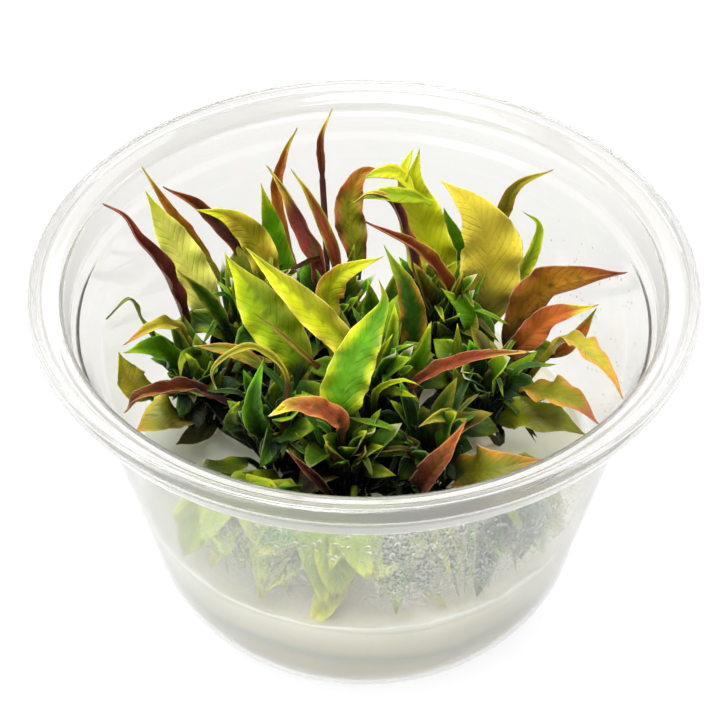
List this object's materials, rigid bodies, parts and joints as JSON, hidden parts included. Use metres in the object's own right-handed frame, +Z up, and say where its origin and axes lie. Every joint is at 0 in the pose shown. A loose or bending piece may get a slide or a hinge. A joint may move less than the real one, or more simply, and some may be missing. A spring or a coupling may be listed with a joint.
{
  "type": "aquarium plant",
  "caption": "Clump of young Cryptocoryne purpurea with pointed green, olive and red-brown leaves, growing on pale gel in a clear round plastic culture cup with a turned-out rim.",
  "frame": {"origin": "middle of the cup's underside, on the surface that it stands on", "axes": "+Z up along the cup's axis, -Y towards the front of the clump, +X to its right"},
  "size_m": [0.1, 0.1, 0.0675],
  "materials": {
    "clear_plastic": "clear, smooth, faintly hazed",
    "gel": "cream, cloudy, wet",
    "crown": "fleshy, dark green, with pale roots",
    "leaf_bright": "waxy, bright yellow-green",
    "leaf_green": "waxy, deep green",
    "leaf_yellow": "waxy, olive yellow",
    "leaf_olive": "waxy, olive with a brown edge",
    "leaf_mottled": "waxy, green with yellow and brown mottling",
    "leaf_orange": "waxy, orange brown",
    "leaf_red": "waxy, red brown",
    "leaf_purple": "waxy, dark purple brown"
  },
  "bodies": {
    "root": {"cup": "clear_plastic", "gel": "gel", "crown_far_left": "crown", "crown_back_left": "crown", "crown_front_left": "crown", "crown_back": "crown", "crown_front": "crown", "crown_middle": "crown", "crown_back_right": "crown", "crown_right": "crown", "crown_front_right": "crown", "purple_rolled_leaf": "leaf_purple", "wall_leaf": "leaf_yellow", "bright_leaf_left": "leaf_green", "hair_thin_leaf_left": "leaf_olive", "olive_leaf_left": "leaf_olive", "low_leaf_left": "leaf_olive", "broad_mottled_leaf": "leaf_mottled", "orange_tip_leaf": "leaf_orange", "brown_leaf_left": "leaf_red", "mustard_leaf": "leaf_yellow", "slender_olive_leaf": "leaf_olive", "front_folded_leaf": "leaf_mottled", "green_upright_leaf": "leaf_green", "red_arched_leaf": "leaf_red", "small_orange_leaf": "leaf_orange", "hair_thin_leaf_front": "leaf_olive", "low_leaf_front_left": "leaf_bright", "low_leaf_side": "leaf_green", "red_rolled_leaf": "leaf_red", "orange_curved_leaf": "leaf_orange", "slim_leaf": "leaf_orange", "tallest_leaf": "leaf_purple", "green_leaf_back": "leaf_green", "orange_folded_leaf": "leaf_orange", "central_mottled_leaf": "leaf_mottled", "curled_orange_leaf": "leaf_orange", "thin_red_leaf": "leaf_red", "hanging_front_leaf": "leaf_yellow", "bright_folded_leaf": "leaf_bright", "arched_yellow_leaf": "leaf_yellow", "mottled_upright_leaf": "leaf_mottled", "red_spotted_leaf": "leaf_red", "arched_brown_leaf": "leaf_purple", "big_bright_leaf": "leaf_bright", "green_leaf_behind": "leaf_green", "largest_leaf": "leaf_olive", "olive_tip_leaf": "leaf_olive", "tendril_leaf": "leaf_green", "rolled_brown_leaf": "leaf_orange", "red_channelled_leaf": "leaf_red", "orange_arched_leaf": "leaf_orange", "narrow_orange_leaf": "leaf_orange", "drooping_leaf": "leaf_olive", "green_leaf_right": "leaf_green", "low_yellow_leaf": "leaf_yellow", "brown_side_leaf": "leaf_olive", "wrinkled_red_leaf": "leaf_red", "broad_olive_leaf": "leaf_olive", "low_leaf_front_right": "leaf_olive"}
  },
  "joints": []
}
